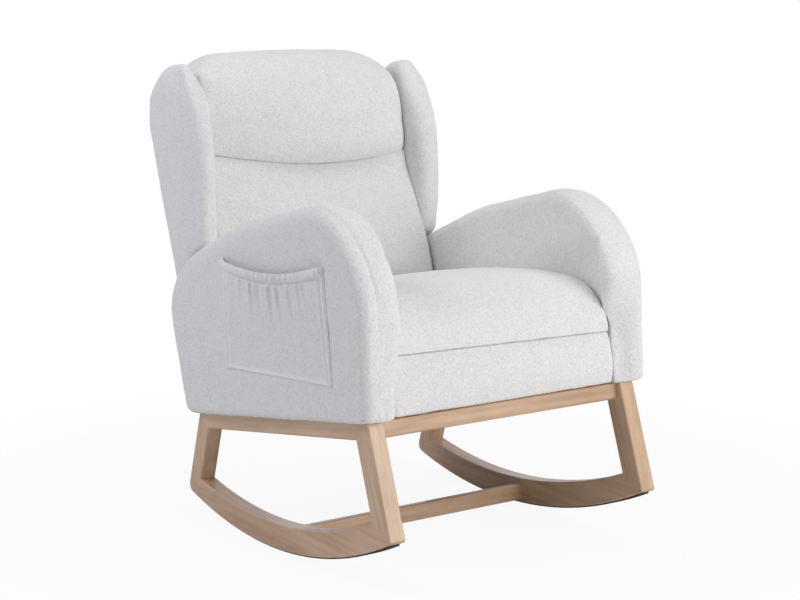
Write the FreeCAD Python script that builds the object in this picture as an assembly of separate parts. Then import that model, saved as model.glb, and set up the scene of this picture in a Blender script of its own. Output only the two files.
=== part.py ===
"""Wing-back rocking armchair with a pull-out footrest, in millimetres.

The chair is drawn level. y runs from front to back, from the middle of the circle that the runners
follow, and z runs up from that circle's lowest point. The finished chair is then tipped back about the
circle's centre, to the angle at which it stands at rest.
"""
import os
from math import acos, cos, pi, radians, sin, sqrt, tan

import FreeCAD
import Part

V = FreeCAD.Vector

# Stance
REST_TILT = 9.7

# Wooden base
BASE_WIDTH = 640.0
FRAME_THICKNESS = 35.0
RUNNER_RADIUS = 1087.0
RUNNER_DEPTH = 53.0
RUNNER_TOP_RADIUS = 1135.0
RAIL_TOP = 271.5
RAIL_HEIGHT = 33.0
FRONT_LEG_TOP = -292.0
FRONT_LEG_FOOT = -331.0
FRONT_LEG_DEPTH = 50.0
REAR_LEG_TOP = 375.0
REAR_LEG_FOOT = 463.0
REAR_LEG_DEPTH = 45.0
TOE_ROUND = 5.0
TAIL_ROUND = 18.0
EDGE_EASE = 2.0
CROSS_RAIL_DEPTH = 35.0
CROSS_RAIL_SETBACK = 13.0
STRETCHER_Y = 80.0
STRETCHER_DEPTH = 22.0
STRETCHER_HEIGHT = 34.0
STRETCHER_LIFT = 6.0
STRIP_WIDTH = 24.0
STRIP_THICKNESS = 3.0
STRIP_END_GAP = 15.0

# Joinery
DOWEL_DIAMETER = 8.0
DOWEL_LENGTH = 40.0
MITRE_DOWEL_LENGTH = 28.0
DOWEL_SPACING = 17.0
DOWEL_GAP = 0.1
DOWEL_RISE = 8.0
BRACKET_LEG = 40.0
BRACKET_HEIGHT = 24.0
BRACKET_PLATE = 2.5
SCREW_DIAMETER = 4.0
SCREW_LENGTH = 22.0
SCREW_HEAD_DIAMETER = 8.0
SCREW_HEAD_HEIGHT = 2.2
BOLT_DIAMETER = 8.0
BOLT_HEAD_DIAMETER = 16.0
BOLT_HEAD_HEIGHT = 4.0
BOLT_GAP = 0.2
ROD_SIDES = 8

# Seat box
SEAT_WIDTH = 526.0
SEAT_BOARD = 18.0
SEAT_BOX_HEIGHT = 107.0
SEAT_FRONT_SETBACK = 26.0
SEAT_RAIL_DEPTH = 40.0
SEAT_RAIL_HEIGHT = 28.0
FIT = 0.5
WEB_THICKNESS = 2.0
WEB_WIDTH = 60.0
SEAT_WEBS = 6
DECK_THICKNESS = 4.0
DUST_COVER = 1.5
SEAT_BOLT_BITE = 40.0
SEAT_BOLT_SINK = 6.0

# Seat cushion
CUSHION_RISE = 130.0
CUSHION_CROWN = 9.0
CUSHION_CREST = 36.0
CUSHION_NOSE = 35.0
CUSHION_CORNER = 14.0
CUSHION_TUCK = 20.0
CUSHION_REAR_STRETCH = 1.3

# Arms
ARM_THICKNESS = 78.0
ARM_OUTER_EDGE = 40.0
ARM_INNER_EDGE = 20.0
ARM_PADDING = 28.0
ARM_PANEL = 18.0
ARM_FRONT_FOOT = -323.0
ARM_FRONT_TOP = -367.0
ARM_HEIGHT = 419.0
ARM_FRONT_ROUND = 212.0
ARM_WAIST = 120.0
ARM_WAIST_HEIGHT = 386.0
ARM_WAIST_ROUND = 500.0
ARM_REAR_TOP = 463.0
ARM_REAR_HEIGHT = 322.0
ARM_REAR_ROUND = 140.0
ARM_REAR_FOOT = 414.0
ARM_TOE_ROUND = 6.0
ARM_HEEL_ROUND = 22.0
ARM_CHORDS = 9
ARM_BOLT_LIFT = 74.0
ARM_BOLT_FRONT = -170.0
ARM_BOLT_REAR = 170.0

# Arm pockets
POCKET_LENGTH = 400.0
POCKET_HEIGHT = 222.0
POCKET_REAR = 160.0
POCKET_LIFT = 84.0
POCKET_SLOPE = 4.6
POCKET_SAG = 22.0
POCKET_DEPTH = 10.0
POCKET_CLOTH = 2.5

# Back
BACK_RECLINE = 9.0
BACK_REAR = 422.0
BACK_FOOT_LIFT = 6.0
BACK_HEIGHT = 680.0
STILE_WIDTH = 32.0
STILE_DEPTH = 40.0
BACK_TOP_ROLL = 30.0
REAR_COVER = 14.0
BACK_TOP_ROUND = 18.0
BACK_RAIL_HEIGHT = 55.0
BACK_MIDDLE_RAIL_DROP = 35.0
BACK_LOW_RAIL = 130.0
BACK_WEBS = 5
BACK_WEB_START = 232.0
BACK_WEB_MARGIN = 14.0
BACK_BOLT_LOW = 26.0
BACK_BOLT_HIGH = 72.0
BACK_BOLT_BITE = 25.0
BACK_BOLT_HEAD = 12.0
BACK_WEDGE_TOE = 3.0

# Back pads
PAD_GAP = 7.0
PAD_CORNER = 14.0
LOWER_PAD_FOOT = 228.0
LOWER_PAD_DROP = 153.0
LOWER_PAD_DEPTH_FOOT = 120.0
LOWER_PAD_DEPTH_TOP = 76.0
LOWER_PAD_CROWN = 30.0
SEAM_GAP = 5.0
SEAM_DRAW = 5.0
SEAM_DIP = 15.0
SEAM_CROWN = 4.0
HEAD_RISE = 86.0
HEAD_BULGE = 46.0
HEAD_CREST_DROP = 52.0
HEAD_CROWN = 22.0
HEAD_TOP_ROUND = 105.0
HEAD_LEDGE = 20.0
HEAD_FRONT_LEAN = 30.0
HEAD_REAR_LEAN = 50.0

# Wings
WING_THICKNESS = 54.0
WING_FLARE = 3.0
WING_TIP = 288.0
WING_TIP_DROP = 127.0
WING_LOWER_SWEEP = 38.0
WING_UPPER_SWEEP = 80.0
WING_RISE = 54.0
WING_FOOT = 140.0
WING_CROWN_DROP = 50.0
WING_CROWN_SWEEP = 125.0
WING_REAR_ROUND = 34.0
WING_TOP_DRAW = 10.0
WING_PANEL = 15.0
WING_PADDING = 27.0
WING_PANEL_FOOT = 385.0
WING_PANEL_FOOT_ROUND = 8.0
WING_PANEL_TIP_ROUND = 150.0
WING_PANEL_TOP_ROUND = 25.0

# Footrest
SLIDE_LENGTH = 340.0
SLIDE_HEIGHT = 36.0
SLIDE_WIDTH = 12.5
SLIDE_SHEET = 1.2
SLIDE_GAP = 0.3
SLIDE_LIFT = 6.0
FOOTREST_BOARD = 15.0
FOOTREST_PLATFORM = 12.0
FOOTREST_BAR = 22.0
FOOTREST_PAD_GAP = 2.0
FOOTREST_PAD_CROWN = 3.0
FOOTREST_FACE = 16.0
FOOTREST_FACE_CROWN = 6.0
FOOTREST_GAP = 2.0
FOOTREST_SIDE_GAP = 2.0
FOOTREST_DRAW = 3.0

# Sizes that follow from those above
FRAME_OUT = BASE_WIDTH / 2
FRAME_IN = FRAME_OUT - FRAME_THICKNESS
FRAME_MID = (FRAME_OUT + FRAME_IN) / 2
RAIL_LOW = RAIL_TOP - RAIL_HEIGHT
ARM_IN = SEAT_WIDTH / 2
ARM_OUT = ARM_IN + ARM_THICKNESS
BOARD_OUT = ARM_IN - FIT
BOARD_IN = BOARD_OUT - SEAT_BOARD
SEAT_FRONT = FRONT_LEG_TOP + SEAT_FRONT_SETBACK
SEAT_REAR = BACK_REAR - (REAR_COVER + STILE_DEPTH) / cos(radians(BACK_RECLINE)) - BACK_WEDGE_TOE
SEAT_TOP = RAIL_TOP + SEAT_BOX_HEIGHT
WEB_SEAT = SEAT_TOP - DECK_THICKNESS - WEB_THICKNESS
FACE_REAR = SEAT_FRONT - FOOTREST_GAP - FOOTREST_BOARD
CUSHION_FRONT = SEAT_FRONT - CUSHION_NOSE
BACK_FOOT = RAIL_TOP + BACK_FOOT_LIFT
STILE_OUT = BOARD_OUT
STILE_HEIGHT = BACK_HEIGHT - BACK_TOP_ROLL
STILE_IN = STILE_OUT - STILE_WIDTH
PAD_DEPTH = REAR_COVER + STILE_DEPTH + WEB_THICKNESS
PAD_HALF = ARM_IN - PAD_GAP
WING_IN = PAD_HALF + FIT
WING_OUT = WING_IN + WING_THICKNESS
LOWER_PAD_TOP = BACK_HEIGHT - LOWER_PAD_DROP
WING_TIP_LIFT = BACK_HEIGHT - WING_TIP_DROP
WING_TOP = BACK_HEIGHT + WING_RISE
WING_CROWN_START = BACK_HEIGHT - WING_CROWN_DROP
HEAD_TOP = BACK_HEIGHT + HEAD_RISE
HEAD_CREST = BACK_HEIGHT - HEAD_CREST_DROP


def line(a, b):
    return Part.makeLine(a, b)


def arc(a, b, c):
    return Part.Arc(a, b, c).toShape()


def box(x0, x1, y0, y1, z0, z1):
    return Part.makeBox(x1 - x0, y1 - y0, z1 - z0, V(x0, y0, z0))


def rod(start, direction, diameter, length):
    """A round bar from start along direction, as a prism of ROD_SIDES sides."""
    across = direction.cross(V(0, 0, 1) if abs(direction.z) < 0.9 else V(1, 0, 0)).normalize()
    up = direction.cross(across)
    corners = []
    for i in range(ROD_SIDES):
        turn = 2 * pi * (i + 0.5) / ROD_SIDES
        corners.append(start + (across * cos(turn) + up * sin(turn)) * (diameter / 2))
    return Part.Face(Part.makePolygon(corners + corners[:1])).extrude(direction * length)


def bolt(start, direction, diameter, length, head_diameter, head_height):
    """A shank from start along direction, with its head behind start."""
    head = rod(start, direction * -1, head_diameter, head_height)
    return rod(start, direction, diameter, length).fuse(head).removeSplitter()


def mirrored(shape):
    return shape.mirror(V(0, 0, 0), V(1, 0, 0))


def both(shapes):
    """A set of solids and its mirror image, as one group."""
    return Part.makeCompound(list(shapes) + [mirrored(s) for s in shapes])


def slab(wire, x0, x1):
    """A side outline, drawn at x = 0, as a board from x0 to x1."""
    board = Part.Face(wire).extrude(V(x1 - x0, 0, 0))
    board.translate(V(x0, 0, 0))
    return board


def polygon(points):
    corners = [V(0, y, z) for y, z in points]
    return Part.makePolygon(corners + corners[:1])


def rounded(corners):
    """A side outline through (y, z, radius) corners, as lines and tangent arcs."""
    count = len(corners)
    bends = []
    for i, (y, z, radius) in enumerate(corners):
        here = V(0, y, z)
        before = (V(0, *corners[i - 1][:2]) - here).normalize()
        after = (V(0, *corners[(i + 1) % count][:2]) - here).normalize()
        half = acos(before.dot(after)) / 2
        middle = (before + after).normalize() * (radius / sin(half) - radius)
        reach = radius / tan(half)
        bends.append((here + before * reach, here + middle, here + after * reach))
    edges = []
    for i, (start, middle, end) in enumerate(bends):
        edges.append(line(bends[i - 1][2], start))
        if corners[i][2] > 0:
            edges.append(arc(start, middle, end))
    return Part.Wire(edges)


def chorded(corners, chords):
    """A side outline through (y, z, radius) corners, with each bend as a row of chords."""
    count = len(corners)
    points = []
    for i, (y, z, radius) in enumerate(corners):
        here = V(0, y, z)
        before = (V(0, *corners[i - 1][:2]) - here).normalize()
        after = (V(0, *corners[(i + 1) % count][:2]) - here).normalize()
        half = acos(before.dot(after)) / 2
        centre = here + (before + after).normalize() * (radius / sin(half))
        start = here + before * (radius / tan(half)) - centre
        end = here + after * (radius / tan(half)) - centre
        turn = pi - 2 * half
        for step in range(chords + 1):
            share = step / chords
            points.append(centre + (start * sin((1 - share) * turn) + end * sin(share * turn)) * (1 / sin(turn)))
    return Part.makePolygon(points + points[:1])


def loft(wires):
    return Part.makeLoft(wires, True, True)


def ring(place, half, base, edge, crown, corner):
    """A cushion's section: a flat base, straight sides, eased corners and a crowned face."""
    way = 1 if edge > base else -1
    inset = corner * (1 - sqrt(0.5))
    flank = [(half, base), (half, edge - way * corner), (half - inset, edge - way * inset), (half - corner, edge)]
    right = [place(across, deep) for across, deep in flank]
    left = [place(-across, deep) for across, deep in reversed(flank)]
    crest = arc(right[-1], place(0, edge + way * crown), left[0])
    sides = [line(a, b) for a, b in zip(right, right[1:])]
    returns = [line(a, b) for a, b in zip(left, left[1:])]
    return Part.Wire(sides + [crest] + returns + [line(left[-1], right[0])])


def level(z):
    return lambda across, deep: V(across, deep, z)


def upright(y):
    return lambda across, high: V(across, y, high)


def back_y(z, depth):
    """The y at height z of the plane that lies depth in front of the back's rear face."""
    lean = radians(BACK_RECLINE)
    return BACK_REAR + (z - BACK_FOOT) * tan(lean) - depth / cos(lean)


# Side frames: one mitred ring of runner, two legs and rail, cut apart along the mitres
def under(y):
    return RUNNER_RADIUS - sqrt(RUNNER_RADIUS ** 2 - y ** 2)


def over(y):
    return RUNNER_DEPTH + RUNNER_TOP_RADIUS - sqrt(RUNNER_TOP_RADIUS ** 2 - y ** 2)


def inner_corners(top, foot, depth):
    """Where a leg's inner edge meets the rail's underside and the runner's upper side."""
    lean = V(0, foot - top, under(foot) - RAIL_TOP).normalize()
    shift = depth / abs(lean.z) * (1 if top < 0 else -1)
    slope = lean.y / lean.z
    start = top + shift
    upper = start + (RAIL_LOW - RAIL_TOP) * slope
    lower = upper
    for _ in range(40):
        lower = start + (over(lower) - RAIL_TOP) * slope
    return V(0, upper, RAIL_LOW), V(0, lower, over(lower))


front_top = V(0, FRONT_LEG_TOP, RAIL_TOP)
front_foot = V(0, FRONT_LEG_FOOT, under(FRONT_LEG_FOOT))
rear_top = V(0, REAR_LEG_TOP, RAIL_TOP)
rear_foot = V(0, REAR_LEG_FOOT, under(REAR_LEG_FOOT))
front_upper, front_lower = inner_corners(FRONT_LEG_TOP, FRONT_LEG_FOOT, FRONT_LEG_DEPTH)
rear_upper, rear_lower = inner_corners(REAR_LEG_TOP, REAR_LEG_FOOT, REAR_LEG_DEPTH)

outline = Part.Wire([
    line(front_top, front_foot),
    arc(front_foot, V(0, 0, 0), rear_foot),
    line(rear_foot, rear_top),
    line(rear_top, front_top),
])
opening = Part.Wire([
    line(front_upper, front_lower),
    arc(front_lower, V(0, 0, RUNNER_DEPTH), rear_lower),
    line(rear_lower, rear_upper),
    line(rear_upper, front_upper),
])
frame = slab(outline, FRAME_IN, FRAME_OUT)
for corner, radius in ((front_foot, TOE_ROUND), (rear_foot, TAIL_ROUND)):
    tips = [
        e for e in frame.Edges
        if all(abs(v.Y - corner.y) < 0.01 and abs(v.Z - corner.z) < 0.01 for v in e.Vertexes)
    ]
    frame = frame.makeFillet(radius, tips)
frame = frame.cut(slab(opening, FRAME_IN, FRAME_OUT))
rims = [e for e in frame.Edges if len({round(v.X, 3) for v in e.Vertexes}) == 1]
frame = frame.makeChamfer(EDGE_EASE, rims)

mitres = {
    "front_top": (front_top, front_upper),
    "front_foot": (front_foot, front_lower),
    "rear_top": (rear_top, rear_upper),
    "rear_foot": (rear_foot, rear_lower),
}


def beyond(name):
    outer, inner = mitres[name]
    return outer + (outer - inner)


def member(first, second, outside):
    """The part of the ring between two mitres, with one more point outside it."""
    middle = (front_upper + rear_lower) * 0.5
    corners = [beyond(first), mitres[first][1], middle, mitres[second][1], beyond(second), outside]
    wedge = slab(Part.makePolygon(corners + corners[:1]), FRAME_IN - 1, FRAME_OUT + 1)
    return frame.common(wedge)


side_rail = member("front_top", "rear_top", V(0, 0, RAIL_TOP + RAIL_HEIGHT * 2))
front_leg = member("front_top", "front_foot", V(0, FRONT_LEG_FOOT - FRONT_LEG_DEPTH * 2, RAIL_TOP / 2))
rear_leg = member("rear_top", "rear_foot", V(0, REAR_LEG_FOOT + REAR_LEG_DEPTH * 2, RAIL_TOP / 2))
runner = member("front_foot", "rear_foot", V(0, 0, -RUNNER_DEPTH))


def strip_bend(radius, start, end):
    def at(y):
        return V(0, y, RUNNER_RADIUS - sqrt(radius ** 2 - y ** 2))
    return at(start), at((start + end) / 2), at(end)


strip_start = FRONT_LEG_FOOT + STRIP_END_GAP
strip_end = REAR_LEG_FOOT - STRIP_END_GAP - TAIL_ROUND
strip_top = strip_bend(RUNNER_RADIUS, strip_start, strip_end)
strip_low = strip_bend(RUNNER_RADIUS + STRIP_THICKNESS, strip_start, strip_end)
strip = slab(
    Part.Wire([
        arc(*strip_top),
        line(strip_top[2], strip_low[2]),
        arc(*strip_low),
        line(strip_low[0], strip_top[0]),
    ]),
    FRAME_MID - STRIP_WIDTH / 2,
    FRAME_MID + STRIP_WIDTH / 2,
)


# Cross members between the two side frames
def eased_bar(y0, y1, z0, z1):
    bar = box(-FRAME_IN, FRAME_IN, y0, y1, z0, z1)
    return bar.makeChamfer(EDGE_EASE, [e for e in bar.Edges if abs(e.Length - 2 * FRAME_IN) < 0.01])


rail_front = FRONT_LEG_TOP + CROSS_RAIL_SETBACK
rail_rear = REAR_LEG_TOP - CROSS_RAIL_SETBACK
front_rail = eased_bar(rail_front, rail_front + CROSS_RAIL_DEPTH, RAIL_LOW, RAIL_TOP)
rear_rail = eased_bar(rail_rear - CROSS_RAIL_DEPTH, rail_rear, RAIL_LOW, RAIL_TOP)
stretcher_low = under(STRETCHER_Y) + STRETCHER_LIFT
stretcher = eased_bar(
    STRETCHER_Y - STRETCHER_DEPTH / 2,
    STRETCHER_Y + STRETCHER_DEPTH / 2,
    stretcher_low,
    stretcher_low + STRETCHER_HEIGHT,
)

# Dowels: one across each mitre, two in each end of a cross member
dowel_places = []
for outer, inner in mitres.values():
    across = (outer - inner).normalize()
    middle = (outer + inner) * 0.5
    along = V(0, -across.z, across.y)
    dowel_places.append((V(FRAME_MID, middle.y, middle.z), along, MITRE_DOWEL_LENGTH))
for y, z, spread in (
    (rail_front + CROSS_RAIL_DEPTH / 2, (RAIL_LOW + RAIL_TOP) / 2 + DOWEL_RISE, V(0, 1, 0)),
    (rail_rear - CROSS_RAIL_DEPTH / 2, (RAIL_LOW + RAIL_TOP) / 2 + DOWEL_RISE, V(0, 1, 0)),
    (STRETCHER_Y, stretcher_low + STRETCHER_HEIGHT / 2, V(0, 0, 1)),
):
    for way in (-1, 1):
        centre = V(FRAME_IN, y, z) + spread * (way * DOWEL_SPACING / 2)
        dowel_places.append((centre, V(1, 0, 0), DOWEL_LENGTH))


def dowel(centre, along, length, gap):
    reach = length / 2 + gap
    return rod(centre - along * reach, along, DOWEL_DIAMETER + 2 * gap, 2 * reach)


dowels = [dowel(*place, 0) for place in dowel_places]
dowel_holes = both([dowel(*place, DOWEL_GAP) for place in dowel_places])

# Angle brackets inside the corners of the base, each with two screws
brackets = []
bracket_screws = []
bracket_holes = []
bracket_low = (RAIL_LOW + RAIL_TOP - BRACKET_HEIGHT) / 2
bracket_mid = bracket_low + BRACKET_HEIGHT / 4
for wall, way in ((rail_front + CROSS_RAIL_DEPTH, 1), (rail_rear - CROSS_RAIL_DEPTH, -1)):
    far = wall + way * BRACKET_LEG
    near = wall + way * BRACKET_PLATE
    plate_y = sorted((wall, far))
    plate_x = sorted((wall, near))
    angle = box(FRAME_IN - BRACKET_PLATE, FRAME_IN, *plate_y, bracket_low, bracket_low + BRACKET_HEIGHT)
    flap = box(FRAME_IN - BRACKET_LEG, FRAME_IN, *plate_x, bracket_low, bracket_low + BRACKET_HEIGHT)
    angle = angle.fuse(flap).removeSplitter()
    for start, along in (
        (V(FRAME_IN - BRACKET_PLATE, (near + far) / 2, bracket_mid), V(1, 0, 0)),
        (V(FRAME_IN - (BRACKET_LEG + BRACKET_PLATE) / 2, near, bracket_mid), V(0, -way, 0)),
    ):
        screw = bolt(start, along, SCREW_DIAMETER, SCREW_LENGTH, SCREW_HEAD_DIAMETER, SCREW_HEAD_HEIGHT)
        hole = rod(start, along, SCREW_DIAMETER + 2 * DOWEL_GAP, SCREW_LENGTH + DOWEL_GAP)
        bracket_screws.append(screw)
        bracket_holes.append(hole)
        angle = angle.cut(hole)
    brackets.append(angle)
bracket_holes = both(bracket_holes)

# Seat box on the cross rails
side_board_rear = SEAT_REAR - SEAT_BOARD
side_board = box(BOARD_IN, BOARD_OUT, SEAT_FRONT, side_board_rear, RAIL_TOP, SEAT_TOP)
rear_board = box(-BOARD_OUT, BOARD_OUT, side_board_rear, SEAT_REAR, RAIL_TOP, WEB_SEAT)
seat_rail = box(
    -BOARD_IN, BOARD_IN, SEAT_FRONT, SEAT_FRONT + SEAT_RAIL_DEPTH, WEB_SEAT - SEAT_RAIL_HEIGHT, WEB_SEAT
)
seat_webs = []
web_pitch = 2 * BOARD_IN / SEAT_WEBS
for i in range(SEAT_WEBS):
    start = -BOARD_IN + web_pitch * (i + 0.5) - WEB_WIDTH / 2
    seat_webs.append(box(start, start + WEB_WIDTH, SEAT_FRONT, SEAT_REAR, WEB_SEAT, WEB_SEAT + WEB_THICKNESS))
deck = box(-BOARD_IN, BOARD_IN, SEAT_FRONT, SEAT_REAR, SEAT_TOP - DECK_THICKNESS, SEAT_TOP)
dust_cover = box(
    -BOARD_OUT, BOARD_OUT, rail_front + CROSS_RAIL_DEPTH, rail_rear - CROSS_RAIL_DEPTH,
    RAIL_TOP - DUST_COVER, RAIL_TOP,
)
seat_bolts = []
seat_bolt_holes = []
for y in (
    (SEAT_FRONT + rail_front + CROSS_RAIL_DEPTH) / 2,
    (side_board_rear + rail_rear - CROSS_RAIL_DEPTH) / 2,
):
    mouth = V((BOARD_IN + BOARD_OUT) / 2, y, RAIL_LOW)
    start = mouth + V(0, 0, SEAT_BOLT_SINK)
    length = RAIL_HEIGHT - SEAT_BOLT_SINK + SEAT_BOLT_BITE
    seat_bolts.append(bolt(start, V(0, 0, 1), BOLT_DIAMETER, length, BOLT_HEAD_DIAMETER, BOLT_HEAD_HEIGHT))
    seat_bolt_holes.append(rod(start, V(0, 0, 1), BOLT_DIAMETER + 2 * BOLT_GAP, length + BOLT_GAP))
    seat_bolt_holes.append(rod(mouth, V(0, 0, 1), BOLT_HEAD_DIAMETER + 2 * BOLT_GAP, SEAT_BOLT_SINK))
seat_bolt_holes = both(seat_bolt_holes)


# Seat cushion: sections from the rounded nose, over the crown, to the back
def cushion_edge(y, reach):
    share = abs(CUSHION_CREST - y) / reach
    return CUSHION_RISE * (1 - share ** 2) ** (1 / 3)


cushion_low = SEAT_TOP + FIT
nose_reach = CUSHION_CREST - CUSHION_FRONT
rear_reach = nose_reach * CUSHION_REAR_STRETCH
cushion_sections = []
cushion_rear = back_y(BACK_FOOT + LOWER_PAD_FOOT, PAD_DEPTH) - LOWER_PAD_DEPTH_FOOT + CUSHION_TUCK
for turn in (86.5, 80, 72, 62, 50, 36, 20):
    y = CUSHION_CREST - sin(radians(turn)) * nose_reach
    rise = cushion_edge(y, nose_reach)
    crown = CUSHION_CROWN * rise / CUSHION_RISE
    corner = min(CUSHION_CORNER, rise * 0.4)
    cushion_sections.append(
        ring(upright(y), ARM_IN - FIT, cushion_low, cushion_low + rise, crown, corner)
    )
for y in (CUSHION_CREST, CUSHION_CREST + (cushion_rear - CUSHION_CREST) * 0.5, cushion_rear):
    rise = cushion_edge(y, rear_reach)
    cushion_sections.append(
        ring(upright(y), ARM_IN - FIT, cushion_low, cushion_low + rise, CUSHION_CROWN, CUSHION_CORNER)
    )
cushion = loft(cushion_sections)

# Arms: a plywood panel that stands on the side rail, inside a padded sleeve
def arm_outline(inset):
    """The arm from the side, with all but its foot drawn in by inset."""
    corners = [
        (ARM_FRONT_FOOT, RAIL_TOP, ARM_TOE_ROUND),
        (ARM_FRONT_TOP, RAIL_TOP + ARM_HEIGHT, ARM_FRONT_ROUND - inset),
        (ARM_WAIST, RAIL_TOP + ARM_WAIST_HEIGHT, ARM_WAIST_ROUND - inset),
        (ARM_REAR_TOP, RAIL_TOP + ARM_REAR_HEIGHT, ARM_REAR_ROUND - inset),
        (ARM_REAR_FOOT, RAIL_TOP, ARM_HEEL_ROUND),
    ]
    edges = []
    for i, (y, z, _) in enumerate(corners):
        after = corners[(i + 1) % len(corners)]
        along = V(0, after[0] - y, after[1] - z).normalize()
        shift = V(0, along.z, -along.y) * (inset if i < len(corners) - 1 else 0)
        edges.append((V(0, y, z) + shift, along))
    moved = []
    for i, (start, along) in enumerate(edges):
        before, way = edges[i - 1]
        normal = V(0, along.z, -along.y)
        meet = before + way * ((start - before).dot(normal) / way.dot(normal))
        moved.append((meet.y, meet.z, corners[i][2]))
    return chorded(moved, ARM_CHORDS)


def arm_section(x, inset):
    wire = arm_outline(inset)
    wire.translate(V(x, 0, 0))
    return wire


arm_sections = []
for turn in (90, 45, 0):
    ease = ARM_INNER_EDGE * (1 - cos(radians(turn)))
    arm_sections.append(arm_section(ARM_IN + ARM_INNER_EDGE * (1 - sin(radians(turn))), ease))
for turn in (0, 30, 60, 90):
    ease = ARM_OUTER_EDGE * (1 - cos(radians(turn)))
    arm_sections.append(arm_section(ARM_OUT - ARM_OUTER_EDGE * (1 - sin(radians(turn))), ease))
arm_mid = (ARM_IN + ARM_OUT) / 2
arm_panel = slab(arm_outline(ARM_PADDING), arm_mid - ARM_PANEL / 2, arm_mid + ARM_PANEL / 2)
arm_pad = loft(arm_sections).cut(arm_panel)
arm_bolts = []
arm_bolt_holes = []
for y in (ARM_BOLT_FRONT, ARM_BOLT_REAR):
    start = V(BOARD_IN, y, RAIL_TOP + ARM_BOLT_LIFT)
    length = arm_mid + ARM_PANEL / 2 - BOARD_IN
    arm_bolts.append(bolt(start, V(1, 0, 0), BOLT_DIAMETER, length, BOLT_HEAD_DIAMETER, BOLT_HEAD_HEIGHT))
    arm_bolt_holes.append(rod(start, V(1, 0, 0), BOLT_DIAMETER + 2 * BOLT_GAP, length))
arm_bolt_holes = Part.makeCompound(arm_bolt_holes)
arm_pad = arm_pad.cut(arm_bolt_holes)
arm_panel = arm_panel.cut(arm_bolt_holes)


# Pockets on the outside of the arms, open along the sagging top hem
def pocket_shape(inset, top_rise, x0, x1):
    rear = POCKET_REAR - inset
    front = POCKET_REAR - POCKET_LENGTH + inset
    low = RAIL_TOP + POCKET_LIFT + inset
    high = RAIL_TOP + POCKET_LIFT + POCKET_HEIGHT + top_rise
    wire = Part.Wire([
        line(V(0, rear, low), V(0, front, low)),
        line(V(0, front, low), V(0, front, high)),
        arc(V(0, front, high), V(0, (front + rear) / 2, high - POCKET_SAG), V(0, rear, high)),
        line(V(0, rear, high), V(0, rear, low)),
    ])
    shape = slab(wire, x0, x1)
    centre = V(0, POCKET_REAR - POCKET_LENGTH / 2, RAIL_TOP + POCKET_LIFT)
    shape.rotate(centre, V(1, 0, 0), POCKET_SLOPE)
    return shape


pocket = pocket_shape(0, 0, ARM_OUT, ARM_OUT + POCKET_DEPTH)
pocket = pocket.cut(
    pocket_shape(POCKET_CLOTH, POCKET_SAG * 2, ARM_OUT - 1, ARM_OUT + POCKET_DEPTH - POCKET_CLOTH)
)


# Back frame: two stiles and three rails, leaning back from the seat box
def leaning(z0, z1, rear, front, x0, x1):
    low = [(back_y(z0, rear), z0), (back_y(z0, front), z0)]
    high = [(back_y(z1, front), z1), (back_y(z1, rear), z1)]
    return slab(polygon(low + high), x0, x1)


stile_front = REAR_COVER + STILE_DEPTH
stile_top = BACK_FOOT + STILE_HEIGHT
stile = leaning(BACK_FOOT, stile_top, REAR_COVER, stile_front, STILE_IN, STILE_OUT)


def back_rail(z0):
    return leaning(z0, z0 + BACK_RAIL_HEIGHT, REAR_COVER, stile_front, -STILE_IN, STILE_IN)


back_top_rail = back_rail(stile_top - BACK_RAIL_HEIGHT)
back_middle_rail = back_rail(BACK_FOOT + LOWER_PAD_TOP - BACK_MIDDLE_RAIL_DROP)
back_bottom_rail = back_rail(BACK_FOOT + BACK_LOW_RAIL)
back_webs = []
back_web_step = (STILE_HEIGHT - BACK_WEB_START - WEB_WIDTH - BACK_WEB_MARGIN) / (BACK_WEBS - 1)
for i in range(BACK_WEBS):
    z = BACK_FOOT + BACK_WEB_START + back_web_step * i
    back_webs.append(leaning(z, z + WEB_WIDTH, stile_front, stile_front + WEB_THICKNESS, -PAD_HALF, PAD_HALF))

back_top = BACK_FOOT + BACK_HEIGHT
roll_low = stile_top + FIT
rear_cover = slab(
    rounded([
        (back_y(BACK_FOOT, 0), BACK_FOOT, 0),
        (back_y(back_top, 0), back_top, BACK_TOP_ROUND),
        (back_y(back_top, stile_front), back_top, 0),
        (back_y(roll_low, stile_front), roll_low, 0),
        (back_y(roll_low, REAR_COVER), roll_low, 0),
        (back_y(BACK_FOOT, REAR_COVER), BACK_FOOT, 0),
    ]),
    -PAD_HALF,
    PAD_HALF,
)
rear_cover = rear_cover.fuse(leaning(BACK_FOOT, RAIL_TOP + WING_FOOT, 0, REAR_COVER, -BOARD_OUT, BOARD_OUT))
rear_cover = rear_cover.removeSplitter()

# Wedge blocks and bolts between the stiles and the seat box
wedge = slab(
    polygon([
        (SEAT_REAR, BACK_FOOT),
        (back_y(BACK_FOOT, stile_front), BACK_FOOT),
        (back_y(WEB_SEAT, stile_front), WEB_SEAT),
        (SEAT_REAR, WEB_SEAT),
    ]),
    STILE_IN,
    STILE_OUT,
)
back_bolts = []
back_bolt_holes = []
for lift in (BACK_BOLT_LOW, BACK_BOLT_HIGH):
    z = BACK_FOOT + lift
    start = V((STILE_IN + BOARD_IN) / 2, side_board_rear, z)
    length = back_y(z, stile_front) - side_board_rear + BACK_BOLT_BITE
    back_bolts.append(bolt(start, V(0, 1, 0), BOLT_DIAMETER, length, BACK_BOLT_HEAD, BOLT_HEAD_HEIGHT))
    back_bolt_holes.append(rod(start, V(0, 1, 0), BOLT_DIAMETER + 2 * BOLT_GAP, length + BOLT_GAP))
stile = stile.cut(Part.makeCompound(back_bolt_holes))
wedge = wedge.cut(Part.makeCompound(back_bolt_holes))
rear_board = rear_board.cut(both(back_bolt_holes))

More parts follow.
